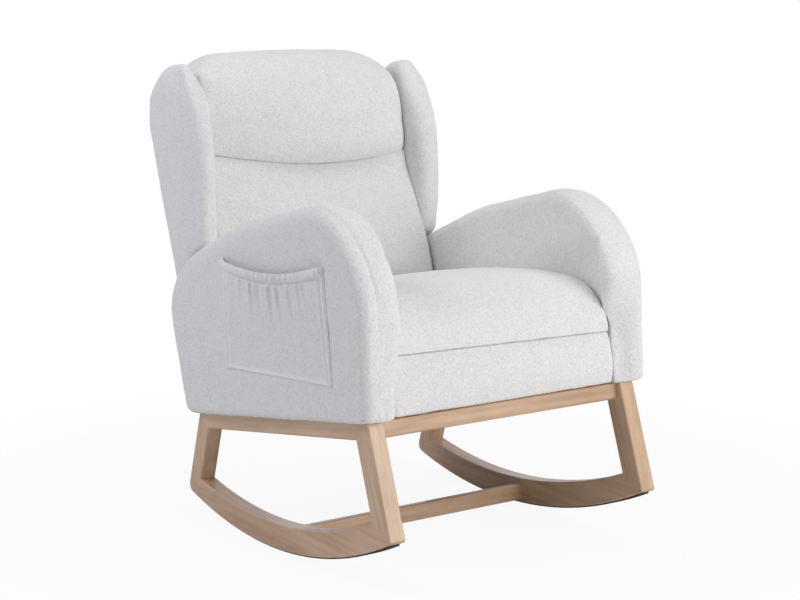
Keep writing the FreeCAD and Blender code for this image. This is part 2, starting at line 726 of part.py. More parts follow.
# Lower back pad: thickest at the loins, drawn in at the seam
lower_sections = []
for share in (0.0, 0.04, 0.13, 0.3, 0.5, 0.7, 0.87, 0.96, 1.0):
    z = BACK_FOOT + LOWER_PAD_FOOT + (LOWER_PAD_TOP - SEAM_GAP / 2 - LOWER_PAD_FOOT) * share
    swell = 1 - (2 * share - 1) ** 4
    depth = LOWER_PAD_DEPTH_FOOT + (LOWER_PAD_DEPTH_TOP - LOWER_PAD_DEPTH_FOOT) * share
    base = back_y(z, PAD_DEPTH + FIT)
    half = PAD_HALF - SEAM_DRAW * (1 - swell)
    edge = base - depth + SEAM_DIP * (1 - swell)
    lower_sections.append(ring(level(z), half, base, edge, SEAM_CROWN + LOWER_PAD_CROWN * swell, PAD_CORNER))
lower_pad = loft(lower_sections)

# Head pillow: swells above the seam and closes over the top of the back
head_sections = []
head_low = LOWER_PAD_TOP + SEAM_GAP / 2
for lift_share in (0.0, 0.05, 0.18, 0.45, 0.75, 1.0):
    z = BACK_FOOT + head_low + (HEAD_CREST - head_low) * lift_share
    swell = 1 - (1 - lift_share) ** 2.4
    base = back_y(z, PAD_DEPTH + FIT)
    edge = base - LOWER_PAD_DEPTH_TOP - HEAD_BULGE * swell + SEAM_DIP * (1 - swell)
    half = PAD_HALF - SEAM_DRAW * (1 - swell)
    head_sections.append(ring(level(z), half, base, edge, SEAM_CROWN + HEAD_CROWN * swell, PAD_CORNER))
ledge = back_top + FIT
head_levels = [(z, PAD_DEPTH + FIT) for z in ((BACK_FOOT + HEAD_CREST + ledge) / 2, ledge)]
for lift_share in (0.03, 0.25, 0.45, 0.63, 0.78, 0.9, 0.97):
    head_levels.append((ledge + (BACK_FOOT + HEAD_TOP - ledge) * lift_share, HEAD_LEDGE))
for z, rear in head_levels:
    rise = (z - BACK_FOOT - HEAD_CREST) / (HEAD_TOP - HEAD_CREST)
    swell = (1 - rise ** 3) ** 0.5
    front = back_y(z, PAD_DEPTH + FIT) - HEAD_FRONT_LEAN * (1 - swell)
    front -= (LOWER_PAD_DEPTH_TOP + HEAD_BULGE) * swell
    base = back_y(z, rear) - HEAD_REAR_LEAN * (1 - swell)
    bend = max(0.0, 1 - (BACK_FOOT + HEAD_TOP - z) / HEAD_TOP_ROUND)
    half = PAD_HALF - HEAD_TOP_ROUND * (1 - sqrt(1 - bend ** 2))
    head_sections.append(ring(level(z), half, base, front, HEAD_CROWN * swell, PAD_CORNER))
head_pillow = loft(head_sections)


# Wings: a plywood ear on each stile, in a padded sleeve with a rolled front edge
wing_tip_z = BACK_FOOT + WING_TIP_LIFT
wing_top_z = BACK_FOOT + WING_TOP
arm_meet_z = RAIL_TOP + ARM_REAR_HEIGHT


def wing_front(z):
    if z < wing_tip_z:
        return WING_TIP + WING_LOWER_SWEEP * ((wing_tip_z - z) / (wing_tip_z - arm_meet_z)) ** 1.5
    return WING_TIP + WING_UPPER_SWEEP * ((z - wing_tip_z) / (wing_top_z - wing_tip_z)) ** 2.2


def wing_rear(z):
    crown = max(0.0, (z - BACK_FOOT - WING_CROWN_START) / (WING_TOP - WING_CROWN_START))
    return back_y(z, 0) - WING_CROWN_SWEEP * crown ** 2


def wing_section(z, draw):
    front = wing_front(z)
    rear = wing_rear(z)
    inner = WING_IN + draw
    outer = WING_OUT - draw
    middle = (inner + outer) / 2 + WING_FLARE
    roll = min((outer - inner) / 2, (rear - front) * 0.4)
    tail = min(WING_REAR_ROUND, (rear - front) * 0.4)
    width = (outer - inner) / 2
    points = [V(inner, rear, z)]
    for turn in (0, 30, 60, 90):
        points.append(V(outer - tail * (1 - sin(radians(turn))), rear - tail * (1 - cos(radians(turn))), z))
    for turn in (90, 60, 30, 0, -30, -60, -90):
        points.append(V(middle + width * sin(radians(turn)), front + roll * (1 - cos(radians(turn))), z))
    return Part.makePolygon(points + points[:1])


wing_low_z = RAIL_TOP + WING_FOOT
wing_sections = []
for share in (0.0, 0.15, 0.3, 0.45, 0.6, 0.72, 0.82, 0.9, 0.95, 0.985, 1.0):
    z = wing_low_z + (wing_top_z - wing_low_z) * share
    wing_sections.append(wing_section(z, WING_TOP_DRAW * max(0.0, share - 0.9) / 0.1))
wing_pad = loft(wing_sections)
panel_low = BACK_FOOT + WING_PANEL_FOOT
panel_top = stile_top - WING_PADDING
wing_panel = slab(
    rounded([
        (back_y(panel_low, REAR_COVER), panel_low, 0),
        (wing_front(panel_low) + WING_PADDING, panel_low, WING_PANEL_FOOT_ROUND),
        (wing_front(wing_tip_z) + WING_PADDING, wing_tip_z, WING_PANEL_TIP_ROUND),
        (wing_front(panel_top) + WING_PADDING, panel_top, WING_PANEL_TOP_ROUND),
        (back_y(panel_top, REAR_COVER), panel_top, 0),
    ]),
    STILE_OUT,
    STILE_OUT + WING_PANEL,
)
wing_pad = wing_pad.cut(leaning(BACK_FOOT, stile_top, REAR_COVER, stile_front, STILE_IN, STILE_OUT))
wing_pad = wing_pad.cut(wing_panel).cut(slab(arm_outline(-FIT), ARM_IN - FIT, ARM_OUT + FIT))

# Footrest: an upholstered drawer on telescopic slides
slide_front = SEAT_FRONT
slide_low = RAIL_TOP + SLIDE_LIFT
slide_step = SLIDE_SHEET + SLIDE_GAP


def channel(web, way, depth, z0, z1):
    """A length of C-shaped rail with its web at x = web and its flanges reaching way."""
    inside = web + way * SLIDE_SHEET
    lip = web + way * depth
    points = [(web, z0), (lip, z0), (lip, z0 + SLIDE_SHEET), (inside, z0 + SLIDE_SHEET)]
    points += [(inside, z1 - SLIDE_SHEET), (lip, z1 - SLIDE_SHEET), (lip, z1), (web, z1)]
    corners = [V(x, slide_front, z) for x, z in points]
    return Part.Face(Part.makePolygon(corners + corners[:1])).extrude(V(0, SLIDE_LENGTH, 0))


slide_top = slide_low + SLIDE_HEIGHT
outer_slide = channel(BOARD_IN, -1, SLIDE_WIDTH - slide_step, slide_low, slide_top)
middle_slide = channel(
    BOARD_IN - slide_step, -1, SLIDE_WIDTH - 2 * slide_step, slide_low + slide_step, slide_top - slide_step
)
bar_out = BOARD_IN - SLIDE_WIDTH
inner_slide = channel(
    bar_out, 1, SLIDE_WIDTH - 2 * slide_step, slide_low + 2 * slide_step, slide_top - 2 * slide_step
)
face_half = ARM_IN - FOOTREST_SIDE_GAP
face_low = RAIL_TOP + FOOTREST_GAP
face_top = SEAT_TOP - FOOTREST_GAP
board_front = FACE_REAR
board_rear = FACE_REAR + FOOTREST_BOARD
board_half = face_half - FOOTREST_FACE
drawer_rear = slide_front + SLIDE_LENGTH
pad_low = slide_top + FOOTREST_PLATFORM
footrest_bar = box(bar_out - FOOTREST_BAR, bar_out, board_rear, drawer_rear, slide_low, slide_top)
platform = box(-bar_out, bar_out, board_rear, drawer_rear, slide_top, pad_low)
front_board = box(-board_half, board_half, board_front, board_rear, face_low + FIT, face_top - FIT)
face_sections = []
for share in (0.0, 0.06, 0.2, 0.5, 0.8, 0.94, 1.0):
    z = face_low + (face_top - face_low) * share
    swell = 1 - (2 * share - 1) ** 4
    half = face_half - FOOTREST_DRAW * (1 - swell)
    edge = board_front - FOOTREST_FACE * (0.45 + 0.55 * swell)
    crown = FOOTREST_FACE_CROWN * (0.2 + 0.8 * swell)
    face_sections.append(ring(level(z), half, board_front, edge, crown, FOOTREST_FACE * 0.4))
face_pad = loft(face_sections)
pad_front = board_rear + FIT
pad_rise = WEB_SEAT - SEAT_RAIL_HEIGHT - FOOTREST_PAD_GAP - FOOTREST_PAD_CROWN - pad_low
pad_sections = []
for share in (0.0, 0.04, 0.15, 0.5, 0.85, 0.96, 1.0):
    y = pad_front + (drawer_rear - pad_front) * share
    swell = 1 - (2 * share - 1) ** 6
    half = bar_out - FOOTREST_DRAW * (1 - swell)
    rise = pad_rise * (0.6 + 0.4 * swell)
    crown = FOOTREST_PAD_CROWN * (0.2 + 0.8 * swell)
    pad_sections.append(ring(upright(y), half, pad_low, pad_low + rise, crown, rise * 0.45))
footrest_pad = loft(pad_sections)

# Bores for the fasteners
side_board = side_board.cut(seat_bolt_holes).cut(arm_bolt_holes)
front_rail = front_rail.cut(dowel_holes).cut(bracket_holes).cut(seat_bolt_holes)
rear_rail = rear_rail.cut(dowel_holes).cut(bracket_holes).cut(seat_bolt_holes)
stretcher = stretcher.cut(dowel_holes)
side_rail = side_rail.cut(dowel_holes).cut(bracket_holes)
front_leg = front_leg.cut(dowel_holes)
rear_leg = rear_leg.cut(dowel_holes)
runner = runner.cut(dowel_holes)

nodes = {
    "front_cross_rail": front_rail,
    "rear_cross_rail": rear_rail,
    "lower_stretcher": stretcher,
    "non_slip_strips": both([strip]),
    "dowels": both(dowels),
    "corner_brackets": both(brackets),
    "bracket_screws": both(bracket_screws),
    "front_seat_rail": seat_rail,
    "rear_seat_board": rear_board,
    "seat_webbing": Part.makeCompound(seat_webs),
    "seat_deck": deck,
    "dust_cover": dust_cover,
    "seat_bolts": both(seat_bolts),
    "seat_cushion": cushion,
    "arm_bolts": both(arm_bolts),
    "back_top_rail": back_top_rail,
    "back_middle_rail": back_middle_rail,
    "back_bottom_rail": back_bottom_rail,
    "back_webbing": Part.makeCompound(back_webs),
    "rear_cover": rear_cover,
    "back_wedges": both([wedge]),
    "back_bolts": both(back_bolts),
    "lower_back_pad": lower_pad,
    "head_pillow": head_pillow,
    "outer_slides": both([outer_slide]),
    "middle_slides": both([middle_slide]),
    "inner_slides": both([inner_slide]),
    "footrest_bars": both([footrest_bar]),
    "footrest_platform": platform,
    "footrest_board": front_board,
    "footrest_face": face_pad,
    "footrest_pad": footrest_pad,
}
for name, shape in {
    "side_rail": side_rail,
    "front_leg": front_leg,
    "rear_leg": rear_leg,
    "runner": runner,
    "seat_board": side_board,
    "arm_panel": arm_panel,
    "arm_pad": arm_pad,
    "pocket": pocket,
    "back_stile": stile,
    "wing_panel": wing_panel,
    "wing_pad": wing_pad,
}.items():
    nodes["right_" + name] = shape
    nodes["left_" + name] = mirrored(shape)

# Tip the chair back to its rest, stand it on the floor and centre it
for shape in nodes.values():
    shape.rotate(V(0, 0, RUNNER_RADIUS), V(1, 0, 0), -REST_TILT)
depths = [p.y for shape in nodes.values() for p in shape.tessellate(0.5)[0]]
shift = V(0, -(min(depths) + max(depths)) / 2, STRIP_THICKNESS)
os.makedirs("parts", exist_ok=True)
for name, shape in nodes.items():
    shape.translate(shift)
    shape.exportStep(os.path.join("parts", name + ".step"))
print("moved by", round(shift.y, 3), round(shift.z, 3), "valid", all(s.isValid() for s in nodes.values()))
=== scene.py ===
import math

import bmesh
import bpy
import numpy as np
from mathutils import Matrix, Vector, noise


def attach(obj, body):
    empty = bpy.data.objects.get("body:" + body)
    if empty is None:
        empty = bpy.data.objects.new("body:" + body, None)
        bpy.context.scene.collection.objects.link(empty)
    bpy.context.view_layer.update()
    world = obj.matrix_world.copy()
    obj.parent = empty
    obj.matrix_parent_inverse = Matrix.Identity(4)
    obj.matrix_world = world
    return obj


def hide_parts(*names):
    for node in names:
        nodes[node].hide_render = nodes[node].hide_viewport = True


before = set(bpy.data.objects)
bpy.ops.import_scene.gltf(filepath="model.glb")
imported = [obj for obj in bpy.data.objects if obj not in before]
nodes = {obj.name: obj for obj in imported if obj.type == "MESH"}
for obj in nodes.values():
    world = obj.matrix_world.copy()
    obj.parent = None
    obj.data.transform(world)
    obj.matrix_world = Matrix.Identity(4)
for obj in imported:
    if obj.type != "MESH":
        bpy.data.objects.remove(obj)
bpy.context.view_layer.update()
scene = bpy.context.scene
scene.view_settings.view_transform = "Standard"

# The chair stands leaned back on its runners: LEVEL takes points of the level chair to the chair at rest.
REST_TILT = math.radians(9.7)
REST_SHIFT = 0.002516
RUNNER_RADIUS = 1.087
STRIP_THICKNESS = 0.003
LEVEL = (
    Matrix.Translation((0, REST_SHIFT, RUNNER_RADIUS + STRIP_THICKNESS))
    @ Matrix.Rotation(-REST_TILT, 4, "X")
    @ Matrix.Translation((0, 0, -RUNNER_RADIUS))
)
BACK_RECLINE = math.radians(9)


# Camera and light
def aim(thing, spot, target):
    thing.location = spot
    thing.rotation_euler = (Vector(target) - Vector(spot)).to_track_quat("-Z", "Y").to_euler()
    scene.collection.objects.link(thing)


LENS = 80.37
SENSOR = 36
CAMERA_SPOT = (-2.0437, -3.0799, 1.1331)
CAMERA_TARGET = (-0.00053, -0.05672, 0.47825)
camera = bpy.data.objects.new("camera", bpy.data.cameras.new("camera"))
camera.data.lens = LENS
camera.data.sensor_width = SENSOR
aim(camera, CAMERA_SPOT, CAMERA_TARGET)
scene.camera = camera


def lamp(name, spot, target, size, watts, color):
    light = bpy.data.lights.new(name, "AREA")
    light.shape = "DISK"
    light.size = size
    light.energy = watts
    light.color = color
    aim(bpy.data.objects.new(name, light), spot, target)


lamp("key", (1.0, -3.2, 1.6), (0, 0, 0.5), 2.6, 60, (1.0, 0.99, 0.97))
lamp("overhead", (0.3, -0.2, 3.0), (0, 0, 0.5), 2.4, 17, (1.0, 1.0, 1.0))
lamp("fill", (-2.2, 1.1, 2.3), (-0.3, 0, 0.5), 1.0, 26, (0.95, 0.94, 1.0))


# Finishes
class Value:
    """A socket of a finish. Sums and products of values add Math nodes."""

    def __init__(self, socket):
        self.socket = socket

    def node(self, kind, settings, sockets, output=0):
        """Adds a node, sets its settings and then its sockets, and gives one of its outputs."""
        tree = self.socket.id_data
        made = tree.nodes.new("ShaderNode" + kind)
        for name, setting in settings.items():
            if name == "stops":
                ramp = made.color_ramp.elements
                for spare in range(len(setting) - 2):
                    ramp.new(0.5)
                for element, (place, color) in zip(ramp, setting):
                    element.position = place
                    element.color = (*color, 1)
            else:
                setattr(made, name, setting)
        for name, value in sockets.items():
            if isinstance(value, Value):
                tree.links.new(value.socket, made.inputs[name])
            else:
                made.inputs[name].default_value = value
        return Value(made.outputs[output])

    def math(self, operation, first, second):
        return self.node("Math", {"operation": operation}, {0: first, 1: second})

    def __add__(self, other):
        return self.math("ADD", self, other)

    def __radd__(self, other):
        return self.math("ADD", other, self)

    def __sub__(self, other):
        return self.math("SUBTRACT", self, other)

    def __rsub__(self, other):
        return self.math("SUBTRACT", other, self)

    def __mul__(self, other):
        return self.math("MULTIPLY", self, other)

    def __rmul__(self, other):
        return self.math("MULTIPLY", other, self)


def begin(name):
    """A new finish and the Object coordinates on it."""
    material = bpy.data.materials.new(name)
    material.use_nodes = True
    place = material.node_tree.nodes.new("ShaderNodeTexCoord")
    return material, Value(place.outputs["Object"])


def complete(material, sockets, height=None, relief=0.001, strength=1.0):
    """Sets the shader's sockets, and its bump where the finish has a height."""
    shader = material.node_tree.nodes["Principled BSDF"]
    if height is not None:
        sockets["Normal"] = height.node(
            "Bump", {}, {"Strength": strength, "Distance": relief, "Height": height}
        )
    for name, value in sockets.items():
        if isinstance(value, Value):
            material.node_tree.links.new(value.socket, shader.inputs[name])
        else:
            shader.inputs[name].default_value = value
    return material


def stretched(place, along, lengthwise, crosswise):
    """Coordinates turned so that X runs along a direction, then scaled along and across it."""
    turn = Vector(along).rotation_difference(Vector((1, 0, 0))).to_euler()
    turned = place.node("Mapping", {}, {"Vector": place, "Rotation": turn})
    return turned.node(
        "VectorMath", {"operation": "MULTIPLY"}, {0: turned, 1: (lengthwise, crosswise, crosswise)}
    )


def ash(name, along, shift):
    """Pale satin ash with straight grain along a member."""
    material, place = begin(name)
    board = stretched(place, along, 1.0, 1.0)
    board = board.node("VectorMath", {"operation": "ADD"}, {0: board, 1: (shift, shift * 0.37, shift * 0.71)})

    def streaks(lengthwise, crosswise, detail):
        scaled = board.node(
            "VectorMath", {"operation": "MULTIPLY"}, {0: board, 1: (lengthwise, crosswise, crosswise)}
        )
        return scaled.node("TexNoise", {}, {"Vector": scaled, "Scale": 1.0, "Detail": detail, "Roughness": 0.6})

    rings = streaks(3.0, 75.0, 4.0)
    pores = streaks(30.0, 900.0, 2.0)
    cloud = streaks(6.0, 14.0, 2.0)
    grain = rings * 0.55 + cloud * 0.3 + pores * 0.15
    stops = [
        (0.33, (0.40, 0.24, 0.132)),
        (0.48, (0.555, 0.362, 0.216)),
        (0.63, (0.66, 0.457, 0.29)),
    ]
    color = grain.node("ValToRGB", {"stops": stops}, {"Fac": grain})
    return complete(
        material,
        {"Base Color": color, "Roughness": 0.52 - rings * 0.16, "Coat Weight": 0.65, "Coat Roughness": 0.16},
        rings * 0.4 + pores * 0.6,
        0.0004,
        0.35,
    )


def boucle(name, with_painted_highlight=False):
    """White curly pile: small rounded tufts, a little darker between them, and, where asked, a painted highlight
    along the pocket's sewn ridges.
    """
    material, place = begin(name)
    drift = place.node("TexNoise", {}, {"Vector": place, "Scale": 140.0, "Detail": 2.0}, "Color")
    sway = drift.node("VectorMath", {"operation": "SCALE"}, {0: drift, "Scale": 0.007})
    bent = place.node("VectorMath", {"operation": "ADD"}, {0: place, 1: sway})
    tufts = place.node("TexVoronoi", {"feature": "F1"}, {"Vector": bent, "Scale": 260.0}, "Distance")
    loops = place.node("TexVoronoi", {"feature": "F1"}, {"Vector": bent, "Scale": 600.0}, "Distance")
    cloud = place.node("TexNoise", {}, {"Vector": place, "Scale": 38.0, "Detail": 3.0, "Roughness": 0.6})
    pile = 1.0 - tufts * 0.75 - loops * 0.3
    tone = pile * 0.8 + cloud * 0.2
    # Painted highlight: an attribute on the pocket cloth lightens the colour along its seams and hem, standing in
    # for light caught by the raised ridges.
    if with_painted_highlight:
        tone = tone + place.node("Attribute", {"attribute_name": "crest"}, {}, "Fac") * 0.5
    stops = [
        (0.30, (0.75, 0.745, 0.735)),
        (0.52, (0.83, 0.826, 0.816)),
        (0.72, (0.875, 0.872, 0.863)),
        (0.95, (0.92, 0.917, 0.91)),
    ]
    color = tone.node("ValToRGB", {"stops": stops}, {"Fac": tone})
    return complete(
        material,
        {
            "Base Color": color,
            "Roughness": 0.95,
            "Specular IOR Level": 0.15,
            "Sheen Weight": 0.2,
            "Sheen Roughness": 0.5,
        },
        pile + cloud * 0.4,
        0.0022,
        0.33,
    )


def cloth(name, color, thread, strength):
    """A plain weave or felt of one colour with a visible thread."""
    material, place = begin(name)
    weave = place.node("TexNoise", {}, {"Vector": place, "Scale": thread, "Detail": 4.0, "Roughness": 0.7})
    rib = place.node("TexWave", {"bands_direction": "DIAGONAL"}, {"Vector": place, "Scale": thread * 0.3})
    tone = weave * 0.7 + rib * 0.3
    shade = tone.node(
        "ValToRGB",
        {"stops": [(0.25, tuple(c * 0.7 for c in color)), (0.75, tuple(c * 1.2 for c in color))]},
        {"Fac": tone},
    )
    return complete(material, {"Base Color": shade, "Roughness": 0.92}, tone, 0.0006, strength)


def timber(name, along, dark, light):
    """Sawn inner timber or plywood with open grain."""
    material, place = begin(name)
    fibre = stretched(place, along, 6.0, 110.0)
    grain = fibre.node("TexNoise", {}, {"Vector": fibre, "Scale": 1.0, "Detail": 5.0, "Roughness": 0.65})
    color = grain.node("ValToRGB", {"stops": [(0.3, dark), (0.7, light)]}, {"Fac": grain})
    return complete(material, {"Base Color": color, "Roughness": 0.8}, grain, 0.0008, 0.4)


def zinc():
    material, place = begin("zinc_plate")
    spangle = place.node("TexNoise", {}, {"Vector": place, "Scale": 420.0, "Detail": 3.0})
    color = spangle.node(
        "ValToRGB", {"stops": [(0.3, (0.52, 0.52, 0.54)), (0.7, (0.68, 0.68, 0.70))]}, {"Fac": spangle}
    )
    return complete(
        material, {"Base Color": color, "Metallic": 1.0, "Roughness": spangle * 0.25 + 0.22}, spangle, 0.0001, 0.3
    )


def rubber():
    material, place = begin("strip_rubber")
    grit = place.node("TexNoise", {}, {"Vector": place, "Scale": 900.0, "Detail": 3.0})
    color = grit.node(
        "ValToRGB", {"stops": [(0.3, (0.018, 0.018, 0.019)), (0.7, (0.042, 0.042, 0.043))]}, {"Fac": grit}
    )
    return complete(material, {"Base Color": color, "Roughness": grit * 0.3 + 0.6}, grit, 0.0003, 0.4)


def finish_nodes(names, material):
    for name in names:
        nodes[name].data.materials.clear()
        nodes[name].data.materials.append(material)


LEG_RAKE = 0.24
PINE = ((0.52, 0.36, 0.18), (0.72, 0.54, 0.32))
BEECH = ((0.50, 0.32, 0.17), (0.66, 0.46, 0.27))
PLYWOOD = ((0.55, 0.39, 0.21), (0.73, 0.56, 0.35))
level_y = (LEVEL.to_3x3() @ Vector((0, 1, 0)))[:]
back_up = (LEVEL.to_3x3() @ Vector((0, math.sin(BACK_RECLINE), math.cos(BACK_RECLINE))))[:]
for number, side in enumerate(("left", "right")):
    finish_nodes([side + "_side_rail"], ash(side + "_rail_ash", level_y, 0.31 + number))
    finish_nodes([side + "_runner"], ash(side + "_runner_ash", (0, 1, 0.02), 0.77 + number))
    for end, lean in (("front", -LEG_RAKE), ("rear", LEG_RAKE)):
        leg_axis = LEVEL.to_3x3() @ Vector((0, lean, -1))
        finish_nodes([f"{side}_{end}_leg"], ash(f"{side}_{end}_leg_ash", leg_axis[:], 0.12 + number + lean))
for number, name in enumerate(("front_cross_rail", "rear_cross_rail", "lower_stretcher")):
    finish_nodes([name], ash(name + "_ash", (1, 0, 0), 0.5 * number))
finish_nodes(["dowels"], timber("dowel_beech", level_y, *BEECH))
finish_nodes(
    ["front_seat_rail", "back_top_rail", "back_middle_rail", "back_bottom_rail", "rear_seat_board"],
    timber("cross_pine", (1, 0, 0), *PINE),
)
finish_nodes(
    ["left_back_stile", "right_back_stile", "back_wedges"],
    timber("upright_pine", back_up, *PINE),
)
finish_nodes(
    [
        "left_seat_board", "right_seat_board", "left_arm_panel", "right_arm_panel",
        "left_wing_panel", "right_wing_panel", "footrest_bars", "footrest_platform", "footrest_board",
    ],
    timber("poplar_plywood", level_y, *PLYWOOD),
)
finish_nodes(
    [
        "corner_brackets", "bracket_screws", "seat_bolts", "arm_bolts", "back_bolts",
        "outer_slides", "middle_slides", "inner_slides",
    ],
    zinc(),
)
finish_nodes(["non_slip_strips"], rubber())
white_boucle = boucle("white_boucle")
# The pocket's finish carries a painted highlight along its sewn ridges.
pocket_boucle_painted_highlight = boucle("pocket_boucle_painted_highlight", with_painted_highlight=True)


# Soft pieces
def points(thing):
    """The piece's points in the level chair."""
    flat = np.empty(len(thing.data.vertices) * 3, np.float32)
    thing.data.vertices.foreach_get("co", flat)
    back = np.array(LEVEL.inverted())
    return flat.reshape(-1, 3).astype(float) @ back[:3, :3].T + back[:3, 3]


def place_points(thing, spots):
    forth = np.array(LEVEL)
    moved = spots @ forth[:3, :3].T + forth[:3, 3]
    thing.data.vertices.foreach_set("co", moved.astype(np.float32).ravel())
    thing.data.update()


def normals(thing):
    flat = np.empty(len(thing.data.vertices) * 3, np.float32)
    thing.data.vertices.foreach_get("normal", flat)
    return flat.reshape(-1, 3).astype(float) @ np.array(LEVEL.inverted())[:3, :3].T


def bake(thing):
    """Applies the piece's modifiers to its mesh."""
    seen = thing.evaluated_get(bpy.context.evaluated_depsgraph_get())
    made = bpy.data.meshes.new_from_object(seen)
    thing.modifiers.clear()
    thing.data = made


def smooth_step(low, high, value):
    share = np.clip((value - low) / (high - low), 0, 1)
    return share * share * (3 - 2 * share)


def piece(name, form, material, body):
    mesh = bpy.data.meshes.new(name)
    form.to_mesh(mesh)
    form.free()
    mesh.materials.append(material)
    mesh.shade_smooth()
    made = bpy.data.objects.new(name, mesh)
    scene.collection.objects.link(made)
    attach(made, body)
    return made


def stuffed(name, solids, body, voxel, smoothing, regain):
    """A soft piece in the form of CAD solids: an even mesh, rounded, and filled out again by what that took off."""
    form = bmesh.new()
    for solid in solids:
        form.from_mesh(nodes[solid].data)
    bmesh.ops.remove_doubles(form, verts=form.verts, dist=1e-5)
    made = piece(name, form, white_boucle, body)
    remesh = made.modifiers.new("even", "REMESH")
    remesh.mode = "VOXEL"
    remesh.voxel_size = voxel
    soft = made.modifiers.new("soft", "SMOOTH")
    soft.factor = 0.5
    soft.iterations = smoothing
    bake(made)
    place_points(made, points(made) + normals(made) * regain)
    return made


AIR_PRESSURE = 4
SWELL_FRAMES = 20


def swell(thing, cap, sewn):
    """Fills the cover with air for some frames, held where it is sewn, and lets no point move past the cap."""
    before = points(thing)
    held = thing.vertex_groups.new(name="sewn")
    held.add(np.flatnonzero(sewn(*before.T)).tolist(), 1.0, "REPLACE")
    cover = thing.modifiers.new("cover", "CLOTH").settings
    cover.vertex_group_mass = "sewn"
    cover.use_pressure = True
    cover.uniform_pressure_force = AIR_PRESSURE
    cover.effector_weights.gravity = 0
    for moment in range(1, SWELL_FRAMES + 1):
        scene.frame_set(moment)
    bake(thing)
    scene.frame_set(1)
    move = points(thing) - before
    reach = np.linalg.norm(move, axis=1)
    place_points(thing, before + move * np.minimum(1, cap / np.maximum(reach, 1e-9))[:, None])


def refine(thing):
    finer = thing.modifiers.new("finer", "SUBSURF")
    finer.levels = 1
    finer.render_levels = 1
    bake(thing)
    thing.data.shade_smooth()


PILE_SCALE = 230
STUFFING_SCALE = 22
STUFFING_SHARE = 1.2


def fuzz(thing, height, seed):
    """Uneven stuffing and the loose outline of the pile."""
    spots = points(thing)
    lift = [
        noise.noise(Vector(p) * PILE_SCALE + Vector((seed, 0, 0))) * height
        + noise.noise(Vector(p) * STUFFING_SCALE + Vector((0, seed, 0))) * height * STUFFING_SHARE
        for p in spots
    ]
    place_points(thing, spots + normals(thing) * np.array(lift)[:, None])


def hold(thing, keep):
    """Keeps the points clear of what the piece rests against."""
    spots = points(thing)
    place_points(thing, np.stack(keep(*spots.T), 1))


def padded(thing, fill, *solids):
    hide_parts(*solids)


PILE = 0.0008


def finish_cover(thing, seed, fill, solid, keep=None):
    """Refines a cover and gives it its pile, kept clear of what it rests against."""
    if keep:
        hold(thing, keep)
    refine(thing)
    fuzz(thing, PILE, seed)
    if keep:
        hold(thing, keep)
    padded(thing, fill, solid)


def ridge(value, place, width):
    """A soft ridge of height 1 along a place."""
    return np.exp(-(((value - place) / width) ** 2))


# Seat cushion: the crease over the front panel rises a little to the left
CREASE_RISE = 0.0105
CREASE_WIDTH = 0.524
CUSHION_BOTTOM = 0.3785
CUSHION_HALF = 0.2622
CUSHION_SWELL = 0.008
CROWN_DEPTHS = (-0.30, -0.25, -0.20, -0.12, 0.0, 0.15)
CUSHION_CROWN = (0.006, 0.013, 0.013, 0.010, 0.005, 0.003)
CORNER_FULLNESS = 0.004
NOSE_FULLNESS = 0.004
CUSHION_DROP = 0.006


def crease(x):
    return CREASE_RISE * (0.5 - x / CREASE_WIDTH)


def keep_cushion(x, y, z):
    bottom = CUSHION_BOTTOM + crease(x) * smooth_step(-0.20, -0.265, y)
    return np.clip(x, -CUSHION_HALF, CUSHION_HALF), y, np.maximum(z, bottom)


def cushion_seams(x, y, z):
    return (z < 0.396) | (abs(x) > 0.258) | (y > 0.29)


cushion = stuffed("cushion_cover", ["seat_cushion"], "base", 0.006, 5, 0.001)
spots = points(cushion)
x, y, z = spots.T  # views: what moves x, y and z moves the spots
fuller = np.interp(y, CROWN_DEPTHS, CUSHION_CROWN)
fuller += CORNER_FULLNESS * smooth_step(0.17, 0.24, np.abs(x)) * smooth_step(-0.14, -0.26, y)
z += fuller * smooth_step(0.40, 0.47, z)
nose = smooth_step(-0.24, -0.29, y) * smooth_step(0.46, 0.40, z)
y -= NOSE_FULLNESS * nose
z -= CUSHION_DROP * smooth_step(0.42, 0.385, z)
place_points(cushion, spots)
swell(cushion, CUSHION_SWELL, cushion_seams)
finish_cover(cushion, 3, 0.75, "seat_cushion", keep_cushion)

# Back: the seam between the lower pad and the head pillow hangs in a shallow curve
SEAM_HEIGHT = 0.8045
SEAM_LAP = 0.0015
SEAM_END = 0.009
SEAM_SAG = 0.027
SEAM_SLOPE = 0.044
PAD_HALF = 0.256
PAD_LIMIT = 0.2558
BACK_FOOT = (0.422, 0.2775)
BACK_DEPTH = 0.056
LOWER_SWELL = 0.008
LOWER_SIDE = 0.008
LOWER_TUCK = {"left": -0.012, "right": 0.014}
LOWER_ROLL = 0.014
LOWER_RISE = 0.013
PILLOW_SWELL = 0.010
PILLOW_SIDE = 0.002
PILLOW_CROWN = 0.005
PILLOW_TUCK = 0.003
PILLOW_ROLL = 0.020
PILLOW_DROP = 0.013
REAR_WIDTH = 1.006
REAR_FOOT_WIDER = 0.020


def back_face(z):
    """The face of the back's frame that the pads lie on."""
    foot_y, foot_z = BACK_FOOT
    return foot_y + (z - foot_z) * math.tan(BACK_RECLINE) - BACK_DEPTH / math.cos(BACK_RECLINE)


def seam_drop(x):
    return SEAM_END - SEAM_SAG * (1 - (x / PAD_HALF) ** 2) - SEAM_SLOPE * x


def keep_lower(x, y, z):
    return np.clip(x, -PAD_LIMIT, PAD_LIMIT), y, np.minimum(z, SEAM_HEIGHT + seam_drop(x) + SEAM_LAP)


def keep_pillow(x, y, z):
    return np.clip(x, -PAD_LIMIT, PAD_LIMIT), y, np.maximum(z, SEAM_HEIGHT + seam_drop(x) - SEAM_LAP)


def lower_seams(x, y, z):
    return (z > 0.782) | (abs(x) > 0.250) | (y > back_face(z) - 0.03)


def pillow_seams(x, y, z):
    return (z < 0.815) | (abs(x) > 0.252) | (y > back_face(z) - 0.03)


